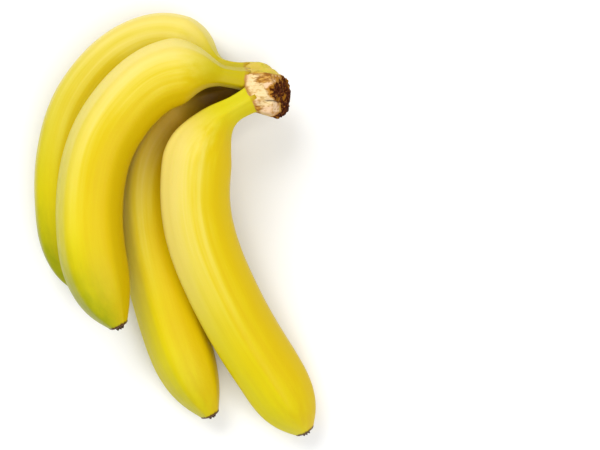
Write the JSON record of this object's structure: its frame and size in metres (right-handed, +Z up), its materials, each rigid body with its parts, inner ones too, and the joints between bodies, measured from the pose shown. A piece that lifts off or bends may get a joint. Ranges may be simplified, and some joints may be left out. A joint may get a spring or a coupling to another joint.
{
  "type": "bunch of bananas",
  "caption": "Small hand of ripe bananas lying on its side: curved yellow fingers that fan out from one cut stem crown, each ending in a dark dried blossom tip.",
  "frame": {"origin": "middle of the bunch's bounding box, on the table that it lies on", "axes": "+Z up from the table; +Y along the bunch from the blossom ends to the crown; +X the way the crown's cut end points"},
  "size_m": [0.1582, 0.2388, 0.0689],
  "materials": {
    "peel": "ripe yellow peel, waxy satin, greener at the necks and tips",
    "crown_stem": "dry pale-tan corky stem, dark brown at the knife cut",
    "dried_blossom": "dry, matt, near-black brown"
  },
  "bodies": {
    "root": {"crown": "crown_stem", "banana_left_bottom": "peel", "banana_left_top": "peel", "banana_right_bottom": "peel", "banana_right_top": "peel", "blossom_end_left_bottom": "dried_blossom", "blossom_end_left_top": "dried_blossom", "blossom_end_right_bottom": "dried_blossom", "blossom_end_right_top": "dried_blossom"}
  },
  "joints": []
}
